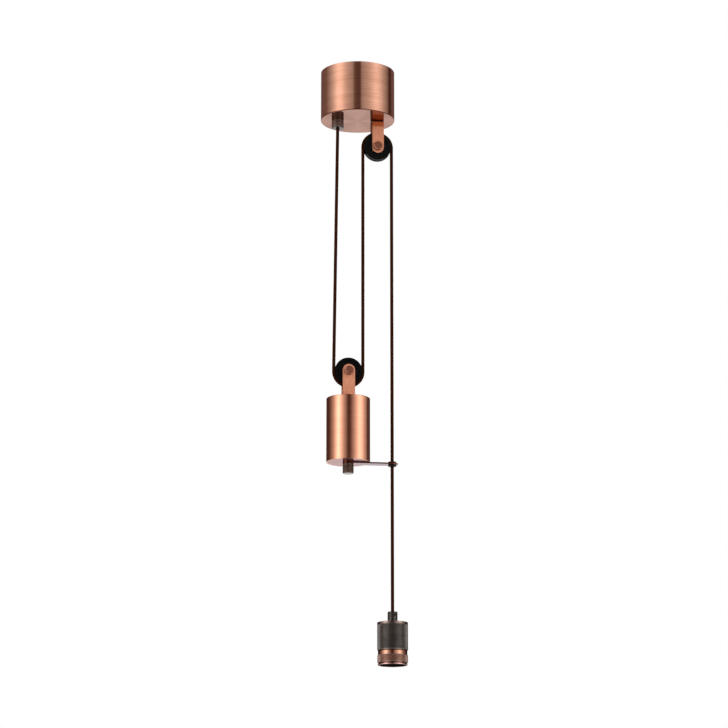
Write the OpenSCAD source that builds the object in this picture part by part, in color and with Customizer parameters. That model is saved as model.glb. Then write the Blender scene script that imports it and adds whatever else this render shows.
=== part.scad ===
// Rise and fall pendant. The cord leaves the canopy, turns under the pulley of a counterweight,
// turns over a fixed pulley and goes down through a guide eye to a lampholder.
// Millimetres. The origin is on the ceiling, at the middle of the canopy, and +Z points up.

/* [Canopy] */
// Outside diameter of the canopy
canopy_d = 100; // [96:1:130]
// Height of the canopy
canopy_h = 68.5; // [60:0.5:90]
// Thickness of the canopy's wall and base
canopy_wall = 1.2; // [1:0.1:1.6]
// Radius of the canopy's lower edge
canopy_edge_r = 0.8; // [0.4:0.1:0.9]
// Diameter of the screws that hold the canopy to its bracket
canopy_screw_d = 4; // [3:0.5:5]

/* [Ceiling bracket] */
// Thickness of the bracket
bracket_t = 2; // [1.5:0.1:3]
// Width of the bracket's strap
bracket_w = 24; // [22:1:30]
// Distance between the two slots for the ceiling screws
slot_pitch = 56; // [52:1:60]
// Length of each slot, end to end
slot_l = 14; // [10:1:16]
// Width of each slot
slot_w = 5; // [4:0.5:6]
// Diameter of the hole for the supply cable
entry_d = 18; // [12:1:20]
// Drop of the tabs that take the canopy screws
tab_h = 16; // [14:1:20]
// Width of the tabs
tab_w = 14; // [12:1:18]

/* [Terminal block] */
// Distance between the poles
pole_pitch = 9; // [8:0.5:10]
// Length of each pole
pole_l = 16; // [14:1:20]
// Height of the block
block_h = 13; // [12:0.5:16]

/* [Cord] */
// Diameter of the cord
cord_d = 4.4; // [4:0.1:5]
// Diameter of each core inside the cord
core_d = 1.6; // [1.4:0.1:1.8]

/* [Cord gland] */
// Distance of the gland's axis inside the canopy's side
gland_in = 22.6; // [18:0.2:24]
// Diameter of the gland
gland_d = 16.5; // [15:0.5:18]
// Length of the gland below the canopy
gland_h = 11.7; // [10:0.1:14]
// Diameter of the gland's thread
gland_thread_d = 10; // [8:0.5:11]

/* [Pulleys] */
// Distance of the upper axle inside the canopy's side
upper_in = 23.2; // [22:0.2:26]
// Radius of the cord's centre line round each pulley
pitch_r = 19.6; // [19:0.1:21]
// How far the cord's centre line stands outside the pulley's rim
cord_proud = 1.1; // [0:0.1:1.3]
// Width of each pulley
pulley_w = 9; // [8.5:0.1:10]
// Diameter of the pulley's hub
hub_d = 15; // [13:0.5:17]
// Depth of the recess on each side of the pulley
web_recess = 1.6; // [1:0.1:2]
// Wall of the pulley's bush
bush_wall = 1.8; // [1.2:0.1:2.4]

/* [Forks] */
// Width of the fork's strap
strap_w = 16.3; // [15:0.1:18]
// Thickness of the strap
strap_t = 2; // [1.5:0.1:2.5]
// Distance from the fork's base to its axle
fork_reach = 36.7; // [35:0.1:42]
// Distance from the axle to the strap's round end
strap_end = 9; // [8.5:0.1:11]
// Diameter of the axle
axle_d = 6; // [5:0.5:7]
// Diameter of the axle's head and of its nut
axle_head_d = 11.5; // [10:0.5:13]
// Height of the axle's head
axle_head_h = 5; // [3:0.5:6]
// Thickness of the washer on each side of the pulley
washer_t = 0.7; // [0.5:0.1:1]

/* [Counterweight] */
// Height of the upper axle above the lower axle at rest
axle_drop = 314.4; // [300:1:420]
// Diameter of the counterweight
weight_d = 58; // [54:1:66]
// Height of the counterweight
weight_h = 86.3; // [80:0.1:120]
// Thickness of the can's wall
can_wall = 1.5; // [1:0.1:2]
// Thickness of the can's closed top
can_top_t = 2.5; // [2:0.1:4]
// Thickness of the base plate
plate_t = 3; // [2:0.5:5]
// Thickness of each steel disc
disc_t = 7; // [5:0.5:9]
// Number of steel discs
disc_count = 3; // [2:1:6]
// Diameter of the rod through the counterweight
rod_d = 6; // [5:0.5:8]
// Diameter of the knurled nut
knurled_nut_d = 14.7; // [13:0.1:17]
// Height of the knurled nut
knurled_nut_h = 13.3; // [10:0.1:16]

/* [Guide arm] */
// Width of the guide arm
arm_w = 15; // [14:0.5:18]
// Thickness of the guide arm
arm_t = 1.8; // [1.5:0.1:3]
// Diameter of the grommet's flanges
grommet_d = 10.8; // [10:0.2:12]
// Thickness of each flange of the grommet
flange_t = 2.4; // [1.6:0.1:2.6]

/* [Lampholder] */
// Height of the ceiling above the lampholder's cord grip at rest
lamp_drop = 740; // [730:5:900]
// Diameter of the cord grip
grip_d = 13; // [12:0.5:15]
// Height of the cord grip
grip_h = 14; // [12:0.2:16]
// Diameter of the shell
shell_d = 40.3; // [39.5:0.1:44]
// Height of the shell
shell_h = 36.7; // [36:0.1:44]
// Wall of the shell
shell_wall = 2; // [1.5:0.1:2.4]
// Radius of the shell's shoulder
shoulder_r = 1.5; // [1:0.1:4]
// How far the shade ring's neck stands back from the shell's side
neck_step = 0.95; // [0.6:0.05:1.2]
// Height of the shade ring's neck
neck_h = 5.4; // [4:0.1:10]
// Height of the shade ring's knurled band
band_h = 10.6; // [8:0.1:14]
// Height of the shade ring's lip
lip_h = 3; // [2.5:0.1:4]
// Inside diameter of the lamp's screw shell
socket_d = 26.6; // [26.5:0.1:27]
// Depth of the screw shell
socket_h = 20; // [18:0.5:21]
// Wall of the screw shell
socket_wall = 0.5; // [0.4:0.1:0.7]

/* [Hidden] */
$fn = 72;

// Clearances
play = 0.3;         // round a curved face that moves past another
seat = 0.02;        // round a piece pressed or set into its place
screw_play = 0.1;   // round a screw in its hole
running = 0.05;     // between an axle and the bush that turns on it
cut = 0.5;          // how far a cut runs past the face that it opens

// Plain places on the ceiling side
canopy_inner_r = canopy_d / 2 - canopy_wall;
base_z = -canopy_h;
floor_z = base_z + canopy_wall;
tab_z = -bracket_t - tab_h / 2;
tab_t = 2.5;
slit_w = 0.6;
tab_outer_r = canopy_inner_r - play;
ear_y = bracket_w / 2;
ear_l = 14;
ear_margin = 2;
ear_lip = 1;
block_w = 3 * pole_pitch;
block_y = ear_y + ear_l - pole_l / 2 - ear_lip;
block_base_z = -bracket_t - block_h;
terminal_d = 3;
wire_play = 1.4;
wire_hole_d = core_d + wire_play;
wire_floor = 2.5;
wire_z = block_base_z + wire_hole_d / 2 + wire_floor;
block_screw_d = 3;
block_screw_x = pole_pitch / 2;
block_screw_sink = 5;
block_head_d = 5;
earth_from_slot = 5.5;
earth_from_edge = 4;
earth_x = -slot_pitch / 2 + slot_l / 2 + earth_from_slot;
earth_y = -bracket_w / 2 + earth_from_edge;

// Gland and cord
gland_x = -(canopy_d / 2 - gland_in);
gland_z = base_z - gland_h;
cord_r = cord_d / 2;
tail_h = 18;
tail_top = floor_z + tail_h;
locknut_h = 3;
gland_over = 2;
gland_top = floor_z + locknut_h + gland_over;

// Forks and pulleys
fork_gap = pulley_w + 2 * (washer_t + play);
upper_x = canopy_d / 2 - upper_in;
upper_z = base_z - fork_reach;
lower_x = upper_x - 2 * pitch_r;
lower_z = upper_z - axle_drop;
groove_r = cord_r + play;
rim_r = pitch_r - cord_proud;
rim_w = 3.5;
bush_r = axle_d / 2 + running + bush_wall;
nut_crown = 1;
axle_tip = fork_gap / 2 + strap_t + axle_head_h - nut_crown - cut;
base_screw_d = 4;
base_screw_head_h = 2.6;
fork_nut_h = 3.2;
thread_over = 1.5;      // how far a screw stands out of its nut
base_screw_head_d = 7.6;
head_bevel = 0.8;

// Counterweight
can_top_z = lower_z - fork_reach;
can_base_z = can_top_z - weight_h;
can_inner_r = weight_d / 2 - can_wall;
plate_top_z = can_base_z + plate_t;
disc_gap = 0.1;
stack_h = disc_count * (disc_t + disc_gap);
disc_play = 2;
disc_r = can_inner_r - disc_play;
blind = 2;              // solid metal at the end of the knurled nut's hole
rod_short = 1;          // between the rod's end and the end of that hole
rod_nut_h = 5;
rod_nut_across = 10;
rod_top_z = can_top_z + strap_t + rod_nut_h + thread_over;
arm_base_z = can_base_z - arm_t;
rod_end_z = arm_base_z - knurled_nut_h + blind + rod_short;
right_x = upper_x + pitch_r;
arm_l = right_x - lower_x;
grommet_bore_r = cord_r + play;
grommet_wall = 1.3;
grommet_neck_r = grommet_bore_r + grommet_wall;

// Lampholder
grip_z = -lamp_drop;
shell_z = grip_z - grip_h;
shell_base_z = shell_z - shell_h;
shell_inner_r = shell_d / 2 - shell_wall;
ring_z = shell_base_z - play;
ring_base_z = ring_z - neck_h - band_h - lip_h;
neck_r = shell_d / 2 - neck_step;
ring_wall = 1.7;
ring_bore_r = neck_r - ring_wall;
insert_r = ring_bore_r - play;
band_step = 0.15;
band_r = shell_d / 2 - band_step;
mouth_in = 0.2;
mouth_z = ring_base_z + mouth_in;
socket_in = 2;
socket_base_z = mouth_z + socket_in;
socket_top_z = socket_base_z + socket_h;
socket_outer_r = socket_d / 2 + socket_wall;
contact_room = 4;       // between the screw shell and the roof over it
insert_floor_t = 7;
roof_z = socket_top_z + contact_room;
insert_top_z = roof_z + insert_floor_t;
nipple_r = 5;
nipple_bore_r = 3.4;
nipple_up = 4;
nipple_down = 8;
nipple_nut_h = 3;
grub_d = 3;
grub_down = 4.4;
grub_z = grip_z - grub_down;
grub_turn = -70;
terminal_x = 9;
contact_t = 0.6;
contact_w = 5;
contact_screw_d = 3;
contact_head_d = 5.4;
core_out = (contact_head_d + core_d) / 2 + seat;

// Colours
copper = [0.72, 0.43, 0.31];
copper_plate = [0.76, 0.57, 0.5];
pewter = [0.3, 0.27, 0.24];
steel = [0.7, 0.7, 0.72];
brass = [0.8, 0.66, 0.36];
black = [0.08, 0.08, 0.08];
brown = [0.24, 0.11, 0.07];
white = [0.9, 0.9, 0.87];

// ---- shared shapes ----

module tube(outer_r, inner_r, h) {
    difference() {
        cylinder(r = outer_r, h = h);
        translate([0, 0, -cut]) cylinder(r = inner_r, h = h + 2 * cut);
    }
}

module hex_nut(across, bore_r, h) {
    difference() {
        cylinder(r = across / 2 / cos(30), h = h, $fn = 6);
        translate([0, 0, -cut]) cylinder(r = bore_r, h = h + 2 * cut);
    }
}

// A turned button with a bevelled face at its top
module button(r, h, bevel) {
    rotate_extrude() polygon([[0, 0], [r, 0], [r, h - bevel], [r - bevel, h], [0, h]]);
}

// A slot's outline, centred
module slot_outline(l, w) {
    square([l - w, w], center = true);
    for (side = [-1, 1]) translate([side * (l - w) / 2, 0]) circle(d = w);
}

// A screw with a round slotted head above z = 0 and its shank below
module pan_screw(shank_d, shank_l, head_d, head_h) {
    slot_z = head_h * 0.55;
    difference() {
        union() {
            button(head_d / 2, head_h, head_h / 3);
            translate([0, 0, -shank_l]) cylinder(d = shank_d, h = shank_l);
        }
        translate([-head_d, -slit_w / 2, slot_z]) cube([2 * head_d, slit_w, head_h]);
    }
}

// A straight stretch of cord between two points, with level ends
module cord_run(from, to) {
    length = norm(to - from);
    slant = atan2(to[0] - from[0], from[2] - to[2]);
    intersection() {
        translate(from) rotate([0, -slant, 0]) translate([0, 0, -length - cord_d])
            cylinder(r = cord_r, h = length + 2 * cord_d);
        translate([min(from[0], to[0]) - cord_d, -cord_d, to[2]])
            cube([abs(to[0] - from[0]) + 2 * cord_d, 2 * cord_d, from[2] - to[2]]);
    }
}

// Half a turn of cord round a pulley, on the +Z side of the axle
module cord_turn() {
    rotate([90, 0, 0]) rotate_extrude(angle = 180) translate([pitch_r, 0]) circle(r = cord_r);
}

// A point on a curve drawn by four control points, and the curve's direction there
function curve(p, t) = pow(1 - t, 3) * p[0] + 3 * pow(1 - t, 2) * t * p[1]
    + 3 * (1 - t) * t * t * p[2] + pow(t, 3) * p[3];
function heading(p, t) = let (d = pow(1 - t, 2) * (p[1] - p[0]) + 2 * (1 - t) * t * (p[2] - p[1])
    + t * t * (p[3] - p[2])) d / norm(d);
function unit(v) = v / norm(v);

// A round wire along a curve of four control points
module wire(p, d, rings, sides, aside) {
    points = [
        for (i = [0:rings - 1]) let (
            t = i / (rings - 1),
            way = heading(p, t),
            across = unit(cross(way, aside)),
            over = cross(way, across)
        ) for (k = [0:sides - 1]) let (a = 360 * k / sides)
            curve(p, t) + d / 2 * (cos(a) * across + sin(a) * over)
    ];
    skin = [
        for (i = [0:rings - 2], k = [0:sides - 1], half = [0, 1]) let (
            a = i * sides + k,
            b = i * sides + (k + 1) % sides
        ) half == 0 ? [a, a + sides, b + sides] : [a, b + sides, b]
    ];
    first = [for (k = [0:sides - 1]) k];
    last = [for (k = [sides - 1:-1:0]) (rings - 1) * sides + k];
    polyhedron(points, concat(skin, [first, last]));
}

// ---- ceiling side ----

module bracket_blank() {
    linear_extrude(bracket_t) difference() {
        union() {
            square([canopy_d, bracket_w], center = true);
            translate([-block_w / 2 - ear_margin, 0]) square([block_w + 2 * ear_margin, ear_y + ear_l]);
        }
        circle(d = entry_d);
        for (side = [-1, 1]) translate([side * slot_pitch / 2, 0]) slot_outline(slot_l, slot_w);
    }
    for (side = [0, 1]) mirror([side, 0, 0])
        translate([tab_outer_r - tab_t, -tab_w / 2, -tab_h]) cube([tab_t + cut, tab_w, tab_h]);
}

module ceiling_bracket() {
    color(steel) difference() {
        intersection() {
            translate([0, 0, -bracket_t]) bracket_blank();
            translate([0, 0, -bracket_t - tab_h - cut])
                cylinder(r = tab_outer_r, h = bracket_t + tab_h + 2 * cut);
        }
        translate([-canopy_d, 0, tab_z]) rotate([0, 90, 0])
            cylinder(r = canopy_screw_d / 2 + seat, h = 2 * canopy_d);
        translate([block_screw_x, block_y, -bracket_t - cut])
            cylinder(r = block_screw_d / 2 + seat, h = bracket_t + 2 * cut);
        translate([earth_x, earth_y, -bracket_t - cut])
            cylinder(r = block_screw_d / 2 + seat, h = bracket_t + 2 * cut);
    }
}

module canopy_profile() {
    difference() {
        union() {
            translate([0, base_z + canopy_edge_r]) square([canopy_d / 2, canopy_h - canopy_edge_r]);
            translate([0, base_z]) square([canopy_d / 2 - canopy_edge_r, canopy_edge_r + cut]);
            translate([canopy_d / 2 - canopy_edge_r, base_z + canopy_edge_r]) circle(r = canopy_edge_r);
        }
        translate([-cut, floor_z]) square([canopy_inner_r + cut, canopy_h + cut]);
    }
}

module canopy_cup() {
    color(copper) difference() {
        rotate_extrude() intersection() {
            canopy_profile();
            translate([0, base_z]) square([canopy_d, canopy_h]);
        }
        translate([gland_x, 0, base_z - cut])
            cylinder(r = gland_thread_d / 2 + screw_play, h = canopy_wall + 2 * cut);
        translate([upper_x, 0, base_z - cut])
            cylinder(r = base_screw_d / 2 + screw_play, h = canopy_wall + 2 * cut);
        translate([-canopy_d, 0, tab_z]) rotate([0, 90, 0])
            cylinder(r = canopy_screw_d / 2 + screw_play, h = 2 * canopy_d);
    }
}

// Headless screws, slotted, flush with the canopy's side
module canopy_screws() {
    reach = 9;
    sunk = 0.1;
    slot_depth = 1;
    color(copper) for (side = [0, 180]) rotate([0, 0, side])
        translate([canopy_d / 2 - sunk, 0, tab_z]) rotate([0, 90, 0]) difference() {
            translate([0, 0, -reach]) cylinder(d = canopy_screw_d, h = reach);
            translate([-canopy_screw_d, -slit_w / 2, -slot_depth])
                cube([2 * canopy_screw_d, slit_w, 2 * slot_depth]);
        }
}

// Three poles in one moulding, with a saddle between each pair
module terminal_block() {
    saddle_w = 1.6;
    saddle_h = 3;
    shaft_h = wire_z - block_base_z;
    color(white) difference() {
        translate([-block_w / 2, block_y - pole_l / 2, block_base_z]) cube([block_w, pole_l, block_h]);
        for (side = [-1, 1])
            translate([side * pole_pitch / 2 - saddle_w / 2, block_y - pole_l, block_base_z - cut])
            cube([saddle_w, 2 * pole_l, saddle_h + cut]);
        for (pole = [-1, 0, 1]) {
            translate([pole * pole_pitch, block_y, wire_z]) rotate([90, 0, 0])
                cylinder(d = wire_hole_d, h = pole_l + 2 * cut, center = true);
            for (end = [-1, 1]) translate([pole * pole_pitch, block_y + end * pole_l / 4, block_base_z - cut])
                cylinder(r = terminal_d / 2 + screw_play, h = shaft_h + cut);
        }
        translate([block_screw_x, block_y, block_base_z - cut]) {
            cylinder(r = block_screw_d / 2 + screw_play, h = block_h + 2 * cut);
            cylinder(r = block_head_d / 2 + screw_play, h = block_screw_sink + cut);
        }
    }
}

module terminal_screws() {
    h = 3.6;
    sunk = 0.6;
    slot_depth = 0.7;
    color(brass) for (pole = [-1, 0, 1], end = [-1, 1])
        translate([pole * pole_pitch, block_y + end * pole_l / 4, block_base_z + sunk]) difference() {
            cylinder(d = terminal_d, h = h);
            translate([-terminal_d, -slit_w / 2, -cut]) cube([2 * terminal_d, slit_w, slot_depth + cut]);
        }
}

module block_screw() {
    head_h = 1.8;
    color(steel) translate([block_screw_x, block_y, block_base_z + block_screw_sink]) rotate([180, 0, 0])
        pan_screw(block_screw_d, block_h - block_screw_sink + bracket_t - screw_play, block_head_d, head_h);
}

module earth_screw() {
    head_d = 6;
    head_h = 2.2;
    color(brass) translate([earth_x, earth_y, -bracket_t]) rotate([180, 0, 0])
        pan_screw(block_screw_d, bracket_t - screw_play, head_d, head_h);
}

// A turned gland with grooves round its body and a thread up through the canopy
module cord_gland() {
    r = gland_d / 2;
    groove_w = 0.7;
    groove_depth = 0.5;
    grooves = 5;
    color(pewter) translate([gland_x, 0, 0]) difference() {
        union() {
            translate([0, 0, base_z]) mirror([0, 0, 1]) button(r, gland_h, head_bevel);
            translate([0, 0, base_z - cut]) cylinder(d = gland_thread_d, h = gland_top - base_z + cut);
        }
        for (i = [1:grooves]) translate([0, 0, base_z - i * gland_h / (grooves + 1) - groove_w / 2])
            tube(r + cut, r - groove_depth, groove_w);
        translate([0, 0, gland_z - cut]) cylinder(r = cord_r + screw_play, h = gland_top - gland_z + 2 * cut);
    }
}

module gland_locknut() {
    shoulder = 2;
    across = gland_thread_d + 2 * shoulder;
    color(steel) translate([gland_x, 0, floor_z]) hex_nut(across, gland_thread_d / 2 + seat, locknut_h);
}

module cord_tail() {
    color(brown) translate([gland_x, 0, gland_z]) cylinder(r = cord_r, h = tail_top - gland_z);
}

// A core from the cord's end up to one pole of the block
module block_core(pole, tint, sway) {
    depth = 2;
    inset = pole_l / 2 - depth;
    rise = 22;
    lead = 24;
    rings = 14;
    sides = 8;
    start = [gland_x + sway[0], sway[1], tail_top];
    end = [pole * pole_pitch, block_y - inset, wire_z];
    color(tint) wire([start, start + [0, 0, rise], end - [0, lead, 0], end], core_d, rings, sides, [1, 0, 0]);
}

module live_core() {
    block_core(1, [0.35, 0.18, 0.1], [1, -0.6]);
}

module neutral_core() {
    block_core(0, [0.1, 0.25, 0.6], [-1, -0.6]);
}

module earth_core() {
    block_core(-1, [0.3, 0.6, 0.15], [0, 1.15]);
}

// ---- forks, axles and pulleys ----

// Outline of a U's end with rounded upper corners, its top at z = 0
module bend_outline(w, h, r) {
    translate([-w / 2, -h]) square([w, h - r]);
    translate([-w / 2 + r, -h]) square([w - 2 * r, h]);
    for (side = [-1, 1]) translate([side * (w / 2 - r), -r]) circle(r = r);
}

// A U-shaped strap hanging from z = 0, with its axle along Y
module fork(screw_d) {
    bend_r = 1;
    width = fork_gap + 2 * strap_t;
    depth = fork_reach + strap_end;
    difference() {
        intersection() {
            rotate([90, 0, 90]) linear_extrude(strap_w, center = true) difference() {
                bend_outline(width, depth, strap_t + bend_r);
                translate([0, -strap_t]) bend_outline(fork_gap, depth, bend_r);
            }
            rotate([90, 0, 0]) linear_extrude(2 * width, center = true) {
                translate([-strap_w / 2, strap_w / 2 - depth]) square([strap_w, depth - strap_w / 2 + cut]);
                translate([0, strap_w / 2 - depth]) circle(d = strap_w);
            }
        }
        translate([0, 0, -fork_reach]) rotate([90, 0, 0])
            cylinder(r = axle_d / 2 + screw_play, h = 2 * width, center = true);
        translate([0, 0, -strap_t - cut]) cylinder(r = screw_d / 2 + screw_play, h = strap_t + 2 * cut);
    }
}

// Axle along Y with its round head towards -Y
module axle() {
    face = fork_gap / 2 + strap_t;
    rotate([90, 0, 0]) {
        translate([0, 0, face]) button(axle_head_d / 2, axle_head_h, head_bevel);
        translate([0, 0, -axle_tip]) cylinder(d = axle_d, h = axle_tip + face + cut);
    }
}

module axle_nut() {
    face = fork_gap / 2 + strap_t;
    rotate([-90, 0, 0]) translate([0, 0, face]) difference() {
        button(axle_head_d / 2, axle_head_h, head_bevel);
        translate([0, 0, -cut]) cylinder(r = axle_d / 2 + seat, h = axle_head_h - nut_crown + cut);
    }
}

module washers() {
    band = 3;
    for (side = [0, 180]) rotate([90, 0, side]) translate([0, 0, fork_gap / 2 - washer_t])
        tube(axle_d / 2 + band, axle_d / 2 + screw_play, washer_t);
}

// Section of one pulley: hub, thin web, rim and a round groove that the cord stands proud of
module pulley_section() {
    difference() {
        translate([bush_r + seat, -pulley_w / 2]) square([rim_r - bush_r - seat, pulley_w]);
        translate([pitch_r, 0]) circle(r = groove_r);
        for (side = [0, 1]) mirror([0, side]) translate([hub_d / 2, pulley_w / 2 - web_recess])
            square([rim_r - rim_w - hub_d / 2, web_recess + cut]);
    }
}

module pulley() {
    rotate([90, 0, 0]) rotate_extrude() pulley_section();
}

module bush() {
    rotate([90, 0, 0]) translate([0, 0, -pulley_w / 2]) tube(bush_r, axle_d / 2 + running, pulley_w);
}

module upper_fork() {
    color(copper) translate([upper_x, 0, base_z]) fork(base_screw_d);
}

module fork_screw() {
    shank = canopy_wall + strap_t + fork_nut_h + thread_over;
    color(steel) translate([upper_x, 0, base_z - strap_t]) rotate([180, 0, 0])
        pan_screw(base_screw_d, shank, base_screw_head_d, base_screw_head_h);
}

module fork_nut() {
    across = 7;
    color(steel) translate([upper_x, 0, floor_z]) hex_nut(across, base_screw_d / 2 + seat, fork_nut_h);
}

module upper_axle() {
    color(copper) translate([upper_x, 0, upper_z]) axle();
}

module upper_axle_nut() {
    color(copper) translate([upper_x, 0, upper_z]) axle_nut();
}

module upper_washers() {
    color(white) translate([upper_x, 0, upper_z]) washers();
}

module upper_pulley() {
    color(black) translate([upper_x, 0, upper_z]) pulley();
}

module upper_bush() {
    color(brass) translate([upper_x, 0, upper_z]) bush();
}

module lower_fork() {
    color(copper) translate([lower_x, 0, can_top_z]) mirror([0, 0, 1]) fork(rod_d);
}

module lower_axle() {
    color(copper) translate([lower_x, 0, lower_z]) axle();
}

module lower_axle_nut() {
    color(copper) translate([lower_x, 0, lower_z]) axle_nut();
}

module lower_washers() {
    color(white) translate([lower_x, 0, lower_z]) washers();
}

module lower_pulley() {
    color(black) translate([lower_x, 0, lower_z]) pulley();
}

module lower_bush() {
    color(brass) translate([lower_x, 0, lower_z]) bush();
}

// ---- counterweight ----

module weight_can() {
    edge_r = 0.8;
    color(copper) translate([lower_x, 0, 0]) rotate_extrude() intersection() {
        difference() {
            union() {
                translate([0, can_base_z]) square([weight_d / 2, weight_h - edge_r]);
                translate([0, can_base_z]) square([weight_d / 2 - edge_r, weight_h]);
                translate([weight_d / 2 - edge_r, can_top_z - edge_r]) circle(r = edge_r);
            }
            translate([0, can_base_z - cut]) square([can_inner_r, weight_h - can_top_t + cut]);
        }
        translate([rod_d / 2 + screw_play, can_base_z]) square([weight_d, weight_h]);
    }
}

module weight_base_plate() {
    color(copper_plate) translate([lower_x, 0, can_base_z])
        tube(can_inner_r - seat, rod_d / 2 + screw_play, plate_t);
}

module weight_discs() {
    color(steel) for (i = [0:disc_count - 1])
        translate([lower_x, 0, plate_top_z + i * (disc_t + disc_gap)])
            tube(disc_r, rod_d / 2 + screw_play, disc_t);
}

module weight_rod() {
    color(steel) translate([lower_x, 0, rod_end_z]) cylinder(d = rod_d, h = rod_top_z - rod_end_z);
}

module rod_top_nut() {
    color(steel) translate([lower_x, 0, can_top_z + strap_t])
        hex_nut(rod_nut_across, rod_d / 2 + seat, rod_nut_h);
}

module disc_nut() {
    color(steel) translate([lower_x, 0, plate_top_z + stack_h])
        hex_nut(rod_nut_across, rod_d / 2 + seat, rod_nut_h);
}

// A strip with round ends, one round the rod and one round the grommet
module guide_arm() {
    color(copper) translate([lower_x, 0, arm_base_z]) linear_extrude(arm_t) difference() {
        translate([arm_l / 2, 0]) slot_outline(arm_l + arm_w, arm_w);
        circle(r = rod_d / 2 + screw_play);
        translate([arm_l, 0]) circle(r = grommet_neck_r + seat);
    }
}

// A black eyelet: a neck through the arm between two rounded flanges
module guide_grommet() {
    flange_r = grommet_d / 2;
    bevel = 0.9;
    color(black) translate([right_x, 0, arm_base_z]) difference() {
        union() {
            cylinder(r = grommet_neck_r, h = arm_t);
            translate([0, 0, arm_t]) button(flange_r, flange_t, bevel);
            mirror([0, 0, 1]) button(flange_r, flange_t, bevel);
        }
        translate([0, 0, -flange_t - cut]) cylinder(r = grommet_bore_r, h = arm_t + 2 * flange_t + 2 * cut);
    }
}

module knurled_nut() {
    color(pewter) translate([lower_x, 0, arm_base_z]) mirror([0, 0, 1]) difference() {
        button(knurled_nut_d / 2, knurled_nut_h, head_bevel);
        translate([0, 0, -cut]) cylinder(r = rod_d / 2 + seat, h = knurled_nut_h - blind + cut);
    }
}

// ---- cord ----

module cord_left_run() {
    color(brown) cord_run([gland_x, 0, gland_z], [lower_x - pitch_r, 0, lower_z]);
}

module cord_lower_turn() {
    color(brown) translate([lower_x, 0, lower_z]) mirror([0, 0, 1]) cord_turn();
}

module cord_middle_run() {
    color(brown) cord_run([lower_x + pitch_r, 0, upper_z], [lower_x + pitch_r, 0, lower_z]);
}

module cord_upper_turn() {
    color(brown) translate([upper_x, 0, upper_z]) cord_turn();
}

module cord_right_run() {
    color(brown) cord_run([right_x, 0, upper_z], [right_x, 0, grip_z]);
}

// ---- lampholder ----

module cord_grip() {
    bevel = 0.5;
    color(pewter) translate([right_x, 0, 0]) difference() {
        translate([0, 0, shell_z]) button(grip_d / 2, grip_h, bevel);
        translate([0, 0, shell_z - cut]) cylinder(r = nipple_r + seat, h = nipple_up + cut + seat);
        translate([0, 0, shell_z]) cylinder(r = cord_r + screw_play, h = grip_h + cut);
        translate([0, 0, grub_z]) rotate([0, 90, grub_turn]) cylinder(r = grub_d / 2 + seat, h = grip_d);
    }
}

// Slotted grub screw that pinches the cord, in the front of the grip
module grip_screw() {
    inner = cord_r + screw_play;
    face = grip_d / 2 - 0.4;
    slot_depth = 0.8;
    color(pewter) translate([right_x, 0, grub_z]) rotate([0, 90, grub_turn]) difference() {
        translate([0, 0, inner]) cylinder(d = grub_d, h = face - inner);
        translate([-grub_d, -slit_w / 2, face - slot_depth]) cube([2 * grub_d, slit_w, 2 * slot_depth]);
    }
}

module holder_nipple() {
    color(brass) translate([right_x, 0, shell_z - nipple_down])
        tube(nipple_r, nipple_bore_r, nipple_down + nipple_up);
}

module nipple_nut() {
    across = 14;
    color(brass) translate([right_x, 0, shell_z - shell_wall - nipple_nut_h])
        hex_nut(across, nipple_r + seat, nipple_nut_h);
}

module shell_outline() {
    r = shell_d / 2;
    translate([0, shell_base_z]) square([r, shell_h - shoulder_r]);
    translate([0, shell_base_z]) square([r - shoulder_r, shell_h]);
    translate([r - shoulder_r, shell_z - shoulder_r]) circle(r = shoulder_r);
}

module holder_shell() {
    inner_corner = 1;
    inner_h = shell_h - shell_wall;
    color(pewter) translate([right_x, 0, 0]) rotate_extrude() intersection() {
        difference() {
            shell_outline();
            translate([0, shell_base_z - cut]) square([shell_inner_r, inner_h - inner_corner + cut]);
            translate([0, shell_base_z]) square([shell_inner_r - inner_corner, inner_h]);
            translate([shell_inner_r - inner_corner, shell_base_z + inner_h - inner_corner])
                circle(r = inner_corner);
        }
        translate([nipple_r + screw_play, shell_base_z]) square([shell_d, shell_h]);
    }
}

module cord_end() {
    color(brown) translate([right_x, 0, shell_z - nipple_down])
        cylinder(r = cord_r, h = grip_h + nipple_down);
}

// The two cores from the cord's end to the terminals
module holder_cores() {
    apart = 1.1;
    lead = 5;
    rings = 8;
    sides = 8;
    color([0.35, 0.18, 0.1]) for (side = [-1, 1]) translate([right_x, 0, 0]) {
        start = [side * apart, 0, shell_z - nipple_down];
        end = [side * terminal_x, core_out, insert_top_z];
        wire([start, start - [0, 0, lead], end + [0, 0, lead], end], core_d, rings, sides, [0, 1, 0]);
    }
}

// Heat-proof moulding: a floor with the terminals above, a deep cup for the screw shell below
module lamp_insert() {
    upper_r = shell_inner_r - seat;
    flare = 0.6;            // opens the cup's mouth
    color(black) translate([right_x, 0, 0]) difference() {
        rotate_extrude() polygon([
            [0, insert_top_z], [upper_r, insert_top_z], [upper_r, shell_base_z], [insert_r, shell_base_z],
            [insert_r, mouth_z], [socket_outer_r + flare, mouth_z], [socket_outer_r + seat, socket_base_z],
            [socket_outer_r + seat, roof_z], [0, roof_z]
        ]);
        for (side = [-1, 1]) translate([side * terminal_x, 0, roof_z - cut])
            cylinder(r = contact_screw_d / 2 + seat, h = insert_top_z - roof_z + 2 * cut);
    }
}

module screw_shell() {
    color(brass) translate([right_x, 0, socket_base_z]) tube(socket_outer_r, socket_d / 2, socket_h);
}

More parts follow.
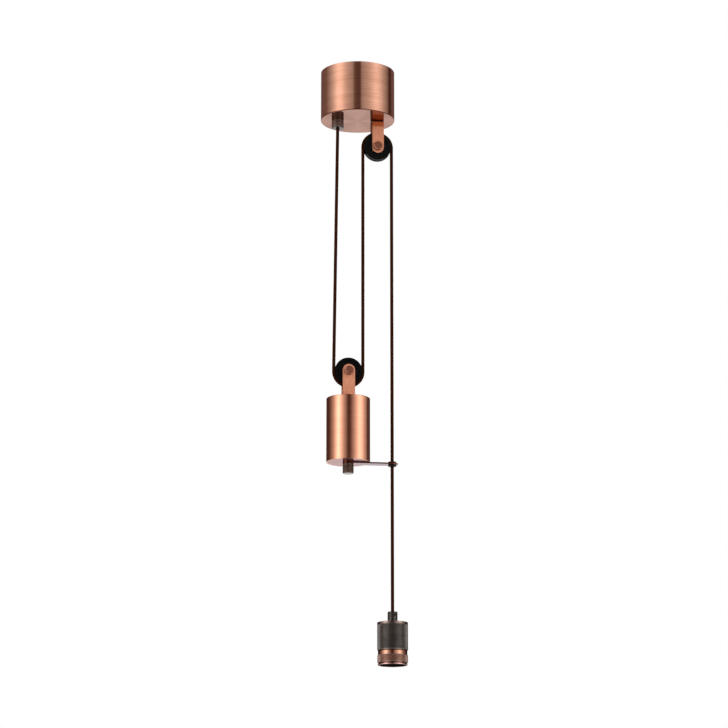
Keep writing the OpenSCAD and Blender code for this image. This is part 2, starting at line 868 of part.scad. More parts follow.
// Sprung strip under the roof, held by its terminal screw and bent down at the middle
module centre_contact() {
    dip = 3;
    tip = 3;
    bend_in = 4;
    bend_x = terminal_x - bend_in;
    lean = 0.2;
    color(brass) translate([right_x, 0, 0]) difference() {
        rotate([90, 0, 0]) linear_extrude(contact_w, center = true) polygon([
            [terminal_x + tip, roof_z], [bend_x, roof_z], [tip, roof_z - dip], [-tip, roof_z - dip],
            [-tip, roof_z - dip - contact_t], [tip + lean, roof_z - dip - contact_t],
            [bend_x + lean, roof_z - contact_t], [terminal_x + tip, roof_z - contact_t]
        ]);
        translate([terminal_x, 0, roof_z - 2 * contact_t])
            cylinder(r = contact_screw_d / 2 + seat, h = 2 * contact_t + cut);
    }
}

// Strip from the other terminal to the top of the screw shell
module side_contact() {
    end_in = 3;
    end_x = terminal_x - end_in;
    leg_r = socket_outer_r - contact_t;
    color(brass) translate([right_x, 0, 0]) difference() {
        intersection() {
            rotate([90, 0, 0]) linear_extrude(contact_w, center = true) polygon([
                [-end_x, roof_z], [-2 * terminal_x, roof_z], [-2 * terminal_x, socket_top_z],
                [-leg_r, socket_top_z], [-leg_r, roof_z - contact_t], [-end_x, roof_z - contact_t]
            ]);
            translate([0, 0, socket_top_z]) cylinder(r = socket_outer_r, h = roof_z - socket_top_z);
        }
        translate([-terminal_x, 0, roof_z - 2 * contact_t])
            cylinder(r = contact_screw_d / 2 + seat, h = 2 * contact_t + cut);
    }
}

module contact_screws() {
    head_h = 2;
    shank = insert_top_z - roof_z + contact_t;
    color(brass) for (side = [-1, 1]) translate([right_x + side * terminal_x, 0, insert_top_z])
        pan_screw(contact_screw_d, shank, contact_head_d, head_h);
}

// Turned ring: plain neck, band that takes the knurl, and a bevelled lip round the mouth
module shade_ring() {
    lip_t = 0.4;
    neck_base = ring_z - neck_h;
    band_base = neck_base - band_h;
    bevel = 0.5;
    lip_top = band_base - 0.8;
    color(copper) translate([right_x, 0, 0]) rotate_extrude() polygon([
        [ring_bore_r, ring_z], [neck_r, ring_z], [neck_r, neck_base], [band_r - bevel, neck_base],
        [band_r, neck_base - bevel], [band_r, band_base + bevel], [band_r - bevel, band_base],
        [band_r - bevel, lip_top], [ring_bore_r + lip_t, ring_base_z], [ring_bore_r, ring_base_z]
    ]);
}

ceiling_bracket();
canopy_cup();
canopy_screws();
terminal_block();
terminal_screws();
block_screw();
earth_screw();
cord_gland();
gland_locknut();
cord_tail();
live_core();
neutral_core();
earth_core();
upper_fork();
fork_screw();
fork_nut();
upper_axle();
upper_axle_nut();
upper_washers();
upper_pulley();
upper_bush();
lower_fork();
lower_axle();
lower_axle_nut();
lower_washers();
lower_pulley();
lower_bush();
weight_can();
weight_base_plate();
weight_discs();
weight_rod();
rod_top_nut();
disc_nut();
guide_arm();
guide_grommet();
knurled_nut();
cord_left_run();
cord_lower_turn();
cord_middle_run();
cord_upper_turn();
cord_right_run();
cord_grip();
grip_screw();
holder_nipple();
nipple_nut();
holder_shell();
cord_end();
holder_cores();
lamp_insert();
screw_shell();
centre_contact();
side_contact();
contact_screws();
shade_ring();
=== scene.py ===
"""A rise and fall pendant: canopy, two pulleys, counterweight, cord and bare lampholder.

Lengths are written in millimetres and turned into metres where a mesh is made.
"""

import math

import bmesh
import bpy
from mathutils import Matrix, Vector


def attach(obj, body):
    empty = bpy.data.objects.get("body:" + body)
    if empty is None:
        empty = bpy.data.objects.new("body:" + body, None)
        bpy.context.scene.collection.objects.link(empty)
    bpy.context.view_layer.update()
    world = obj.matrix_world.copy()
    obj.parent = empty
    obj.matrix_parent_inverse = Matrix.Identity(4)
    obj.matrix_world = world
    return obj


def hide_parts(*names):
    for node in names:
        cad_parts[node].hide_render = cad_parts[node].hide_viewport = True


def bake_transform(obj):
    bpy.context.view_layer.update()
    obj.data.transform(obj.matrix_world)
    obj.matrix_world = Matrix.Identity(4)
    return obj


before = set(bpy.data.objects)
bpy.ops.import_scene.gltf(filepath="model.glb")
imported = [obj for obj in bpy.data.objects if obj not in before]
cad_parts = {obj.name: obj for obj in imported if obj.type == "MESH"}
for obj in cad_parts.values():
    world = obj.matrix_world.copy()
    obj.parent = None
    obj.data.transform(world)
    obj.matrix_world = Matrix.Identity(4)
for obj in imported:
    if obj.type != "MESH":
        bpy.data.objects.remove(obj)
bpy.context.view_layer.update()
MM = 0.001

# ---- places and sizes shared with the solids, in millimetres ----

# canopy and cord gland
BASE_Z = -68.5
GLAND_X = -27.4
GLAND_Z = -80.2

# cord, pulleys and their straps
CORD_R = 2.2
PITCH_R = 19.6
UPPER = (26.8, -105.2)
LOWER = (-12.4, -419.6)
RIGHT_X = UPPER[0] + PITCH_R
STRAP_W = 16.3
HEAD_FACE_Y = 12.5

# counterweight, guide arm and knurled nut
CAN_R = 29.0
CAN_TOP_Z = -456.3
CAN_BASE_Z = -542.6
ARM_T = 1.8
ARM_BASE_Z = -544.4
NUT_R = 7.35
NUT_BASE_Z = -557.7

# lampholder and shade ring
GRIP_Z = -740.0
SHELL_R = 20.15
SHELL_Z = -754.0
SHELL_BASE_Z = -790.7
SHOULDER_H = 2.6
RING_Z = -791.0
RING_BASE_Z = -810.0
NECK_H = 5.4
LIP_H = 1.6
KNURL_DEPTH = 0.5


# ---- camera ----

CAMERA_TURN = math.radians(8.0)
CAMERA_PITCH = math.radians(13.526)
CAMERA_BACK = 3497.0
CAMERA_ASIDE = 8.67
CAMERA_Z = -1249.7
CAMERA_LENS = 133.47
HEADING = Vector((math.sin(CAMERA_TURN), math.cos(CAMERA_TURN), 0))
ASIDE = Vector((math.cos(CAMERA_TURN), -math.sin(CAMERA_TURN), 0))


def make_camera():
    lens = bpy.data.cameras.new("camera")
    lens.lens = CAMERA_LENS
    lens.sensor_width = 36
    lens.clip_end = 100
    camera = bpy.data.objects.new("camera", lens)
    bpy.context.scene.collection.objects.link(camera)
    camera.location = (ASIDE * CAMERA_ASIDE - HEADING * CAMERA_BACK + Vector((0, 0, CAMERA_Z))) * MM
    way = HEADING * math.cos(CAMERA_PITCH) + Vector((0, 0, math.sin(CAMERA_PITCH)))
    camera.rotation_mode = "QUATERNION"
    camera.rotation_quaternion = way.to_track_quat("-Z", "Y")
    bpy.context.scene.camera = camera


make_camera()


# ---- graphs ----

class Tone:
    """One output of a node graph, with ordinary arithmetic on it."""

    def __init__(self, graph, socket):
        self.graph, self.socket = graph, socket

    def math(self, operation, *others):
        """A Math node whose first value is this one"""
        return self.graph.math(operation, self, *others)

    def __add__(self, other):
        return self.math("ADD", other)

    def __sub__(self, other):
        return self.math("SUBTRACT", other)

    def __rsub__(self, other):
        return self.graph.math("SUBTRACT", other, self)

    def __mul__(self, other):
        return self.math("MULTIPLY", other)

    def __truediv__(self, other):
        return self.math("DIVIDE", other)

    def __mod__(self, other):
        return self.math("FLOORED_MODULO", other)

    __radd__ = __add__
    __rmul__ = __mul__


class Graph:
    """A tree of nodes on a material, on the world or in a geometry group."""

    def __init__(self, tree):
        self.tree = tree
        tree.nodes.clear()

    def node(self, kind, settings=None, sockets=None, output=0):
        """One node. Its settings come first; a list on a socket links each of its values there"""
        made = self.tree.nodes.new(kind)
        for name, value in (settings or {}).items():
            if name == "stops":
                set_stops(made.color_ramp, value)
            else:
                setattr(made, name, value)
        for name, value in (sockets or {}).items():
            for given in value if isinstance(value, list) else [value]:
                if isinstance(given, Tone):
                    self.tree.links.new(given.socket, made.inputs[name])
                else:
                    made.inputs[name].default_value = given
        return Tone(self, made.outputs[output]) if made.outputs else made

    def math(self, operation, *values):
        return self.node("ShaderNodeMath", {"operation": operation}, dict(enumerate(values)))

    def vector_math(self, operation, *values, output=0):
        """output is 1 where the operation gives a number"""
        return self.node("ShaderNodeVectorMath", {"operation": operation},
                         dict(enumerate(values)), output)

    def vector(self, **parts):
        """A vector from X, Y and Z; one that isn't given is 0"""
        return self.node("ShaderNodeCombineXYZ", sockets=parts)


class Finish(Graph):
    """A procedural finish on one material or on the world. Patterns count per metre."""

    def __init__(self, owner):
        self.owner = owner
        owner.use_nodes = True
        super().__init__(owner.node_tree)

    def place(self, stretch=(1, 1, 1), centre_x=0.0):
        """Where a point lies on the piece, from an axis at centre_x, stretched for a pattern"""
        return self.node("ShaderNodeMapping", {"vector_type": "POINT"}, {
            "Vector": self.node("ShaderNodeTexCoord", output="Object"),
            "Location": (-centre_x * MM * stretch[0], 0, 0), "Scale": stretch})

    def part(self, vector, axis):
        return self.node("ShaderNodeSeparateXYZ", sockets={"Vector": vector}, output=axis)

    def off_axis(self, where):
        """How far a point lies from the upright axis"""
        flat = self.vector_math("MULTIPLY", where, (1, 1, 0))
        return self.vector_math("LENGTH", flat, output=1)

    def noise(self, where, detail=3.0, roughness=0.5):
        return self.node("ShaderNodeTexNoise", sockets={
            "Vector": where, "Scale": 1.0, "Detail": detail, "Roughness": roughness})

    def step(self, value, low, high):
        """0 below low, 1 above high, eased between"""
        return self.node("ShaderNodeMapRange", {"interpolation_type": "SMOOTHSTEP"}, {
            "Value": value, "From Min": low, "From Max": high})

    def step_mm(self, length, low, high):
        """A step on a length, between two lengths in millimetres"""
        return self.step(length, low * MM, high * MM)

    def blend(self, share, first, second):
        """A colour between two colours, which are the Mix node's sockets 6 and 7"""
        return self.node("ShaderNodeMix", {"data_type": "RGBA", "clamp_factor": True}, {
            "Factor": share, 6: first, 7: second}, output=2)

    def bump(self, height, depth, strength=1.0):
        """depth is in millimetres"""
        return self.node("ShaderNodeBump", sockets={
            "Height": height, "Distance": depth * MM, "Strength": strength})

    def surface(self, **sockets):
        """The piece's shader; an underscore in a name stands for a space"""
        names = {name.replace("_", " "): value for name, value in sockets.items()}
        shader = self.node("ShaderNodeBsdfPrincipled", sockets=names)
        self.node("ShaderNodeOutputMaterial", sockets={"Surface": shader})
        return self.owner


def set_stops(ramp, stops):
    while len(ramp.elements) > 1:
        ramp.elements.remove(ramp.elements[-1])
    ramp.elements[0].position, ramp.elements[0].color = stops[0]
    for place, colour in stops[1:]:
        ramp.elements.new(place).color = colour


def finish(name):
    return Finish(bpy.data.materials.new(name))


def rgb(red, green, blue):
    return (red, green, blue, 1.0)


# ---- finishes ----

def turned_metal(name, zones, rings, centre_x, brush=0.005, grazing=1.0):
    """Metal turned or brushed round an upright axis at centre_x.

    zones run downwards, each as (top z, colour, dark colour, gloss). rings is how fine the brush
    lines are, and brush how deep. grazing is the share of the reflection that is kept where the
    side turns away.
    """
    f = finish(name)
    height = f.part(f.place(), 2)
    fine = f.noise(f.place((25, 25, rings), centre_x), detail=4.0, roughness=0.6)
    broad = f.noise(f.place((6, 6, rings / 9), centre_x))
    cloud = f.noise(f.place((70, 70, 70), centre_x), detail=2.0)
    shade = f.step(fine * 0.45 + broad * 0.3 + cloud * 0.25, 0.36, 0.62)
    tone, rough = None, None
    for top_z, colour, dark, gloss in zones:
        zone_tone, zone_rough = f.blend(shade, dark, colour), gloss + cloud * 0.05
        if tone is None:
            tone, rough = zone_tone, zone_rough
            continue
        below = 1 - f.step_mm(height, top_z - 0.1, top_z + 0.1)
        tone = f.blend(below, tone, zone_tone)
        rough = rough * (1 - below) + zone_rough * below
    return f.surface(Base_Color=tone, Metallic=1.0, Roughness=rough,
                     Specular_Tint=rgb(grazing, grazing, grazing), Normal=f.bump(fine, brush))


def canopy_copper():
    """Side brushed round, with painted shade in a dark line just above the base.

    The base carries the fine rings a lathe leaves, and a painted reflection in four light and dark
    lobes across it.
    """
    f = finish("canopy copper")
    where = f.place()
    height = f.part(where, 2)
    fine = f.noise(f.place((25, 25, 900)), detail=4.0, roughness=0.6)
    broad = f.noise(f.place((5, 5, 100)), detail=2.0)
    cloud = f.noise(f.place((60, 60, 60)), detail=2.0)
    shade = f.step(fine * 0.5 + broad * 0.3 + cloud * 0.2, 0.36, 0.62)
    side = f.blend(shade, rgb(0.64, 0.31, 0.205), rgb(0.78, 0.405, 0.28))
    # painted shade: the side's lowest millimetre or so is coloured dark, as a rounded rim would
    # reflect dark there
    side = f.blend(f.step_mm(height, BASE_Z + 1.1, BASE_Z + 1.4), rgb(0.24, 0.085, 0.045), side)
    # painted reflection: light and dark lobes fixed round the base, mixed with its real lathe rings
    # and cloud
    angle = f.part(where, 1).math("ARCTAN2", f.part(where, 0))
    painted_reflection_lobes = (angle * 4 + 0.6).math("COSINE")
    rings = f.noise(f.vector(X=f.off_axis(where) * 1800, Y=angle * 0.7))
    rings_and_painted_sheen = f.step(rings * 0.5 + painted_reflection_lobes * 0.16 + cloud * 0.3, 0.1, 0.75)
    base = f.blend(rings_and_painted_sheen, rgb(0.38, 0.21, 0.155), rgb(0.53, 0.305, 0.23))
    below = 1 - f.step_mm(height, BASE_Z + 0.1, BASE_Z + 0.3)
    return f.surface(Base_Color=f.blend(below, side, base), Metallic=1.0,
                     Roughness=0.08 + cloud * 0.02, Specular_Tint=rgb(0.97, 0.85, 0.85),
                     Normal=f.bump(fine * (1 - below) + rings * below, 0.004))


def turned_plate(name, colour, dark, centre_x):
    """The face of a plate, with the fine rings that a lathe leaves"""
    f = finish(name)
    rings = f.noise(f.vector(X=f.off_axis(f.place((1, 1, 1), centre_x)) * 2200))
    cloud = f.noise(f.place((40, 40, 40)), detail=2.0)
    shade = f.step(rings * 0.5 + cloud * 0.5, 0.35, 0.65)
    return f.surface(Base_Color=f.blend(shade, dark, colour), Metallic=1.0,
                     Roughness=0.16 + cloud * 0.06, Specular_Tint=rgb(0.95, 0.81, 0.8),
                     Normal=f.bump(rings, 0.003))


def strap_copper():
    """Copper strip with a satin grain along its length, with painted shade at its foot under the
    canopy, a painted shadow line where it meets the canopy and a painted shadow line on one edge
    """
    f = finish("strap copper")
    where = f.place()
    height = f.part(where, 2)
    grain = f.noise(f.place((2500, 2500, 45)))
    cloud = f.noise(f.place((90, 90, 60)), detail=2.0)
    shade = f.step(grain * 0.5 + cloud * 0.5, 0.36, 0.64)
    tone = f.blend(shade, rgb(0.9, 0.375, 0.215), rgb(1.0, 0.44, 0.265))
    # painted shade and shadow: darker towards the canopy, darkest where the strap meets it, and a
    # dark line along its left edge
    painted_foot_shade = f.step_mm(height, BASE_Z - 10.2, BASE_Z - 7)
    painted_joint_shadow = f.step_mm(height, BASE_Z - 2.2, BASE_Z - 0.9)
    from_edge = (f.part(where, 0) - (UPPER[0] - STRAP_W / 2) * MM).math("ABSOLUTE")
    painted_edge_shadow = 1 - f.step_mm(from_edge, 0.6, 1.0)
    tone = f.blend(painted_foot_shade, tone, rgb(0.66, 0.165, 0.052))
    tone = f.blend(painted_joint_shadow, tone, rgb(0.3, 0.085, 0.035))
    tone = f.blend(painted_edge_shadow, tone, rgb(0.13, 0.05, 0.03))
    return f.surface(Base_Color=tone, Metallic=0.7, Roughness=0.5 + cloud * 0.08,
                     Normal=f.bump(grain, 0.004))


def arm_finish():
    """Polished strip, one metal in two tones: a pale painted reflection on the underside and
    painted shade on the copper edge above it
    """
    f = finish("guide arm copper")
    cloud = f.noise(f.place((110, 110, 110)))
    grain = f.noise(f.place((60, 2400, 2400)), detail=2.0)
    # painted reflection and shade: pale on the strip's underside, dark copper on its edge
    edge = f.step_mm(f.part(f.place(), 2), ARM_BASE_Z + 0.02, ARM_BASE_Z + 0.15)
    face = f.blend(cloud, rgb(0.4, 0.355, 0.355), rgb(0.48, 0.43, 0.43))
    side = f.blend(cloud, rgb(0.16, 0.038, 0.02), rgb(0.25, 0.073, 0.042))
    return f.surface(Base_Color=f.blend(edge, face, side), Metallic=1.0,
                     Roughness=0.12 + cloud * 0.06, Specular_Tint=rgb(0.9, 0.8, 0.82),
                     Normal=f.bump(grain, 0.003))


def head_copper():
    """Worn copper on the axle heads: a face, a painted highlight in a line round its rim and a side
    in painted shadow
    """
    f = finish("axle head copper")
    out = f.part(f.place(), 1).math("ABSOLUTE")
    cloud = f.noise(f.place((260, 260, 260)), detail=4.0)
    specks = f.noise(f.place((2400, 2400, 2400)), detail=2.0)
    shade = f.step(cloud * 0.6 + specks * 0.4, 0.4, 0.64)
    face = f.blend(shade, rgb(0.33, 0.12, 0.075), rgb(0.47, 0.2, 0.125))
    # painted highlight on the side next to the face, painted shadow on the rest of the side
    painted_rim_highlight = f.step_mm(out, HEAD_FACE_Y - 0.9, HEAD_FACE_Y - 0.6)
    side = f.blend(painted_rim_highlight, rgb(0.1, 0.035, 0.022), rgb(0.62, 0.27, 0.17))
    tone = f.blend(f.step_mm(out, HEAD_FACE_Y - 0.1, HEAD_FACE_Y - 0.03), side, face)
    return f.surface(Base_Color=tone, Metallic=1.0, Roughness=0.42 + specks * 0.08,
                     Normal=f.bump(specks, 0.005))


def dark_metal(name, colour, edge, gloss):
    """Plated metal, rubbed lighter in patches"""
    f = finish(name)
    cloud = f.noise(f.place((180, 180, 180)), detail=4.0)
    specks = f.noise(f.place((2400, 2400, 2400)), detail=2.0)
    shade = f.step(cloud * 0.6 + specks * 0.4, 0.4, 0.64)
    return f.surface(Base_Color=f.blend(shade, colour, edge), Metallic=1.0,
                     Roughness=gloss + specks * 0.08, Normal=f.bump(specks, 0.006))


def moulded(name, colour, dull, grain=2200, gloss=0.4, shine=0.5):
    """Moulded plastic or rubber with a fine grain"""
    f = finish(name)
    specks = f.noise(f.place((grain, grain, grain)), detail=2.0)
    cloud = f.noise(f.place((70, 70, 70)), detail=2.0)
    return f.surface(Base_Color=f.blend(cloud, colour, dull), Roughness=gloss + cloud * 0.08,
                     Specular_IOR_Level=shine, Normal=f.bump(specks, 0.008))


def plain_metal(name, colour, dark, gloss=0.28):
    """Bright hardware with fine scratches"""
    f = finish(name)
    cloud = f.noise(f.place((150, 150, 150)))
    scratches = f.noise(f.place((900, 1300, 3000)), detail=2.0)
    return f.surface(Base_Color=f.blend(cloud, dark, colour), Metallic=1.0,
                     Roughness=gloss + scratches * 0.1, Normal=f.bump(scratches, 0.003))


def cord_cover(colour, dark):
    """A woven cover, whose threads cross round the cord.

    It reads the cord's own UV, which is in turns round the cord and metres along it.
    """
    f = finish("cord cover")
    uv = f.node("ShaderNodeTexCoord", output="UV")
    turn, along = f.part(uv, 0), f.part(uv, 1)
    threads, slant = 12, 270
    one = (turn * threads + along * slant) * math.tau
    two = (turn * threads - along * slant) * math.tau
    weave = one.math("SINE").math("MAXIMUM", two.math("SINE"))
    fuzz = f.noise(f.place((1800, 1800, 1800)), detail=2.0)
    height = weave * 0.4 + fuzz * 0.4
    return f.surface(Base_Color=f.blend(f.step(height, -0.1, 0.6), dark, colour),
                     Roughness=0.7 + fuzz * 0.15, Specular_IOR_Level=0.0,
                     Normal=f.bump(height, 0.03, 0.35))


WEIGHT_ZONES = [(CAN_TOP_Z, rgb(0.96, 0.445, 0.285), rgb(0.91, 0.4, 0.255), 0.09)]
GLAND_ZONES = [
    (BASE_Z, rgb(0.29, 0.2, 0.165), rgb(0.22, 0.152, 0.124), 0.5),
    (GLAND_Z + 0.5, rgb(0.17, 0.175, 0.17), rgb(0.11, 0.113, 0.11), 0.14),
]
NUT_ZONES = [
    (ARM_BASE_Z, rgb(0.21, 0.145, 0.112), rgb(0.14, 0.095, 0.073), 0.5),
    (NUT_BASE_Z + 0.3, rgb(0.42, 0.37, 0.35), rgb(0.36, 0.31, 0.3), 0.16),
]
SHELL_ZONES = [
    (SHELL_Z, rgb(0.46, 0.325, 0.27), rgb(0.39, 0.27, 0.22), 0.02),
    (SHELL_Z - SHOULDER_H, rgb(0.32, 0.29, 0.27), rgb(0.21, 0.19, 0.175), 0.26),
]
RING_ZONES = [
    # painted shadow: a dark band at the top of the neck, under the shell's edge
    (RING_Z, rgb(0.22, 0.1, 0.06), rgb(0.16, 0.07, 0.04), 0.1),
    (RING_Z - 1.2, rgb(0.8, 0.4, 0.26), rgb(0.72, 0.34, 0.215), 0.06),
    (RING_Z - NECK_H - 0.1, rgb(0.56, 0.375, 0.31), rgb(0.44, 0.29, 0.235), 0.24),
    # painted shade: the groove between the knurled band and the lip is coloured dark
    (RING_BASE_Z + 3.05, rgb(0.1, 0.05, 0.035), rgb(0.06, 0.03, 0.02), 0.3),
    (RING_BASE_Z + LIP_H, rgb(0.88, 0.51, 0.43), rgb(0.8, 0.45, 0.38), 0.05),
]
FINISHES = {
    "canopy": canopy_copper(),
    "weight": turned_metal("weight copper", WEIGHT_ZONES, 700, LOWER[0], 0.001),
    "plate": turned_plate("weight plate", rgb(0.54, 0.385, 0.375), rgb(0.48, 0.335, 0.325),
                          LOWER[0]),
    "strap": strap_copper(),
    "arm": arm_finish(),
    "head": head_copper(),
    "pewter": dark_metal("dark plating", rgb(0.075, 0.066, 0.055), rgb(0.12, 0.105, 0.09), 0.3),
    "grub": dark_metal("grub screw steel", rgb(0.012, 0.011, 0.01), rgb(0.02, 0.018, 0.016), 0.45),
    "gland": turned_metal("gland plating", GLAND_ZONES, 1200, GLAND_X),
    "nut": turned_metal("nut plating", NUT_ZONES, 1200, LOWER[0]),
    "shell": turned_metal("shell plating", SHELL_ZONES, 1400, RIGHT_X, grazing=0.0),
    "ring": turned_metal("ring copper", RING_ZONES, 1400, RIGHT_X, grazing=0.35),
    "steel": plain_metal("zinc steel", rgb(0.72, 0.72, 0.74), rgb(0.6, 0.6, 0.62)),
    # painted shade: the screw shell and centre contact are coloured near black, as they lie deep in
    # the holder
    "socket": plain_metal("brass in painted shade", rgb(0.1, 0.07, 0.03), rgb(0.06, 0.042, 0.018), 0.4),
    "brass": plain_metal("raw brass", rgb(0.82, 0.64, 0.32), rgb(0.72, 0.54, 0.26)),
    "pulley": moulded("pulley moulding", rgb(0.0018, 0.0021, 0.0022),
                      rgb(0.0045, 0.0046, 0.0046), gloss=0.14, shine=0.12),
    "rubber": moulded("grommet rubber", rgb(0.006, 0.006, 0.006), rgb(0.012, 0.012, 0.012),
                      gloss=0.12, shine=0.15),
    "heat": moulded("heat moulding", rgb(0.005, 0.005, 0.005), rgb(0.01, 0.01, 0.01),
                    1500, shine=0.0),
    "white": moulded("white moulding", rgb(0.84, 0.84, 0.81), rgb(0.9, 0.9, 0.88), 1500, 0.42),
    "washer": moulded("washer moulding", rgb(0.76, 0.75, 0.7), rgb(0.82, 0.81, 0.77), 1500, 0.45),
    "cord": cord_cover(rgb(0.036, 0.0098, 0.0034), rgb(0.018, 0.0048, 0.0016)),
    "brown core": moulded("brown core", rgb(0.16, 0.07, 0.035), rgb(0.2, 0.09, 0.05)),
    "blue core": moulded("blue core", rgb(0.03, 0.12, 0.42), rgb(0.04, 0.15, 0.48)),
    "green core": moulded("earth core", rgb(0.16, 0.4, 0.06), rgb(0.55, 0.55, 0.05), 300),
}

NODE_FINISH = {
    "canopy": ("canopy_cup", "canopy_screws"),
    "weight": ("weight_can",),
    "plate": ("weight_base_plate",),
    "strap": ("upper_fork", "lower_fork"),
    "arm": ("guide_arm",),
    "head": ("upper_axle", "upper_axle_nut", "lower_axle", "lower_axle_nut"),
    "pewter": ("cord_grip",),
    "grub": ("grip_screw",),
    "gland": ("cord_gland",),
    "nut": ("knurled_nut",),
    "shell": ("holder_shell",),
    "ring": ("shade_ring",),
    "steel": ("ceiling_bracket", "block_screw", "gland_locknut", "fork_screw", "fork_nut",
              "weight_discs", "weight_rod", "rod_top_nut", "disc_nut"),
    "brass": ("terminal_screws", "earth_screw", "upper_bush", "lower_bush", "holder_nipple",
              "nipple_nut", "side_contact", "contact_screws"),
    "socket": ("screw_shell", "centre_contact"),
    "pulley": ("upper_pulley", "lower_pulley"),
    "rubber": ("guide_grommet",),
    "heat": ("lamp_insert",),
    "white": ("terminal_block",),
    "washer": ("upper_washers", "lower_washers"),
    "cord": ("cord_tail", "cord_end", "cord_left_run", "cord_lower_turn", "cord_middle_run",
             "cord_upper_turn", "cord_right_run"),
    "brown core": ("live_core", "holder_cores"),
    "blue core": ("neutral_core",),
    "green core": ("earth_core",),
}
for kind, nodes in NODE_FINISH.items():
    for name in nodes:
        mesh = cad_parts[name].data
        mesh.materials.clear()
        mesh.materials.append(FINISHES[kind])


# ---- meshes ----

def new_piece(name, points, faces, material, uv=None):
    """A piece whose points are in millimetres; uv holds one pair for each corner of each face"""
    merge_below, sharp_over = 1e-7, math.radians(35)
    mesh = bpy.data.meshes.new(name)
    mesh.from_pydata([Vector(p) * MM for p in points], [], faces)
    if uv:
        layer = mesh.uv_layers.new(name="UVMap")
        for corner, pair in enumerate(uv):
            layer.data[corner].uv = pair
    body = bmesh.new()
    body.from_mesh(mesh)
    bmesh.ops.remove_doubles(body, verts=body.verts, dist=merge_below)
    if len(faces) > 1:
        bmesh.ops.recalc_face_normals(body, faces=body.faces)
    body.to_mesh(mesh)
    body.free()
    mesh.polygons.foreach_set("use_smooth", [True] * len(mesh.polygons))
    mesh.set_sharp_from_angle(angle=sharp_over)
    mesh.materials.append(material)
    piece = bpy.data.objects.new(name, mesh)
    bpy.context.scene.collection.objects.link(piece)
    return piece


def soften(outline, radii, steps=4):
    """The closed outline with its corners rounded, by one radius or by one for each corner.

    A point a little way along each side holds the side's own normal, so that it shades as
    straight.
    """
    most_of_side, hold, hold_share = 0.42, 0.08, 0.05
    eased = []
    for i, corner in enumerate(outline):
        corner, radius = Vector(corner), radii[i] if isinstance(radii, list) else radii
        before = Vector(outline[i - 1]) - corner
        after = Vector(outline[(i + 1) % len(outline)]) - corner
        reach = min(radius, most_of_side * before.length, most_of_side * after.length)
        start, end = corner + before.normalized() * reach, corner + after.normalized() * reach
        eased.append(start + before.normalized() * min(hold, hold_share * before.length))
        for k in range(steps + 1):
            t = k / steps
            eased.append(start * (1 - t) ** 2 + corner * 2 * t * (1 - t) + end * t * t)
        eased.append(end + after.normalized() * min(hold, hold_share * after.length))
    return eased


def turned(name, outline, material, x, sides=128):
    """A ring-shaped body turned about an upright axis at x.

    The closed outline runs as (radius, height).
    """
    points, faces = [], []
    for r, z in outline:
        points += [(x + r * math.cos(math.tau * k / sides), r * math.sin(math.tau * k / sides), z)
                   for k in range(sides)]
    rows = len(outline)
    for i in range(rows):
        for k in range(sides):
            low, high, turn = i * sides, (i + 1) % rows * sides, (k + 1) % sides
            faces.append((low + k, low + turn, high + turn, high + k))
    return new_piece(name, points, faces, material)


def stands_for(piece, node, body):
    """The piece takes the place of one solid and moves with its body"""
    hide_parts(node)
    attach(piece, body)


# ---- repeated detail ----

def geometry_group(name, inputs):
    """A geometry group with named inputs; gives its graph and its inputs by name"""
    group = bpy.data.node_groups.new(name, "GeometryNodeTree")
    graph = Graph(group)
    group.interface.new_socket(name="Body", in_out="INPUT", socket_type="NodeSocketGeometry")
    for label, kind in inputs:
        group.interface.new_socket(name=label, in_out="INPUT", socket_type=kind)
    group.interface.new_socket(name="Body", in_out="OUTPUT", socket_type="NodeSocketGeometry")
    sockets = graph.node("NodeGroupInput").socket.node.outputs
    return group, graph, {socket.name: Tone(graph, socket) for socket in sockets if socket.name}


def finish_group(graph, body, detail, material):
    """The detail is joined to the body it stands on"""
    solid = graph.node("GeometryNodeJoinGeometry", sockets={0: [detail, body]})
    solid = graph.node("GeometryNodeRealizeInstances", sockets={0: solid})
    solid = graph.node("GeometryNodeSetMaterial", sockets={
        "Geometry": solid, "Material": material})
    graph.node("NodeGroupOutput", sockets={0: solid})


def knurl_group():
    """Small diamond pyramids in staggered rows round an upright axis"""
    group, g, given = geometry_group("knurl", [
        ("Columns", "NodeSocketInt"), ("Rows", "NodeSocketInt"), ("Centre", "NodeSocketFloat"),
        ("Radius", "NodeSocketFloat"), ("Depth", "NodeSocketFloat"), ("Base", "NodeSocketFloat"),
        ("Pitch", "NodeSocketFloat"), ("Material", "NodeSocketMaterial")])
    columns, pitch, radius = given["Columns"], given["Pitch"], given["Radius"]
    blunt = 0.25  # width of a diamond's tip against its base
    index = g.node("GeometryNodeInputIndex")
    row = (index / columns).math("FLOOR")
    angle = (index % columns + (row % 2) * 0.5) / columns * math.tau
    place = g.vector(X=given["Centre"] + radius * angle.math("COSINE"),
                     Y=radius * angle.math("SINE"), Z=given["Base"] + row * pitch)
    points = g.node("GeometryNodePoints", sockets={
        "Count": columns * given["Rows"], "Position": place})
    grain = g.node("GeometryNodeMeshCone", {"fill_type": "NGON"}, {
        "Vertices": 4, "Radius Top": blunt, "Radius Bottom": 1.0, "Depth": 1.0})
    grain = g.node("GeometryNodeSetShadeSmooth", sockets={
        "Geometry": grain, "Shade Smooth": False})
    grains = g.node("GeometryNodeInstanceOnPoints", sockets={
        "Points": points, "Instance": grain,
        "Rotation": g.vector(X=math.pi / 2, Z=angle + math.pi / 2),
        "Scale": g.vector(X=radius * math.pi / columns, Y=pitch, Z=given["Depth"])})
    finish_group(g, given["Body"], grains, given["Material"])
    return group


